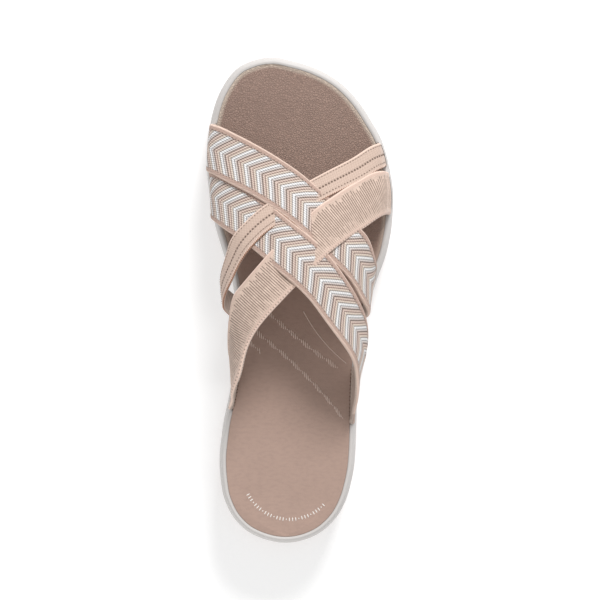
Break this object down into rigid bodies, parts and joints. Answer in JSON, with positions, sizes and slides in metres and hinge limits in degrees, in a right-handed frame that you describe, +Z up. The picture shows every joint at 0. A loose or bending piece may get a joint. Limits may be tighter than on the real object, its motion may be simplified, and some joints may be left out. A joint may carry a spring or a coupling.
{
  "type": "orthopedic cross-strap sandal",
  "caption": "Right slide sandal: ribbed outsole, foam midsole, contoured footbed and elastic straps woven over the instep.",
  "frame": {"origin": "on the floor, in the middle of the sole's length and width", "axes": "+X towards the little toe's side, +Y towards the toe, +Z up"},
  "size_m": [0.0979, 0.254, 0.0738],
  "materials": {
    "outsole": "matte blush rubber with wavy ribs",
    "midsole": "smooth white foam",
    "footbed": "matte taupe, fine pebbled grain",
    "upper": "elastic webbing, chevron and ribbed weave"
  },
  "bodies": {
    "root": {"outsole": "outsole", "midsole": "midsole", "footbed": "footbed", "upper": "upper"}
  },
  "joints": []
}
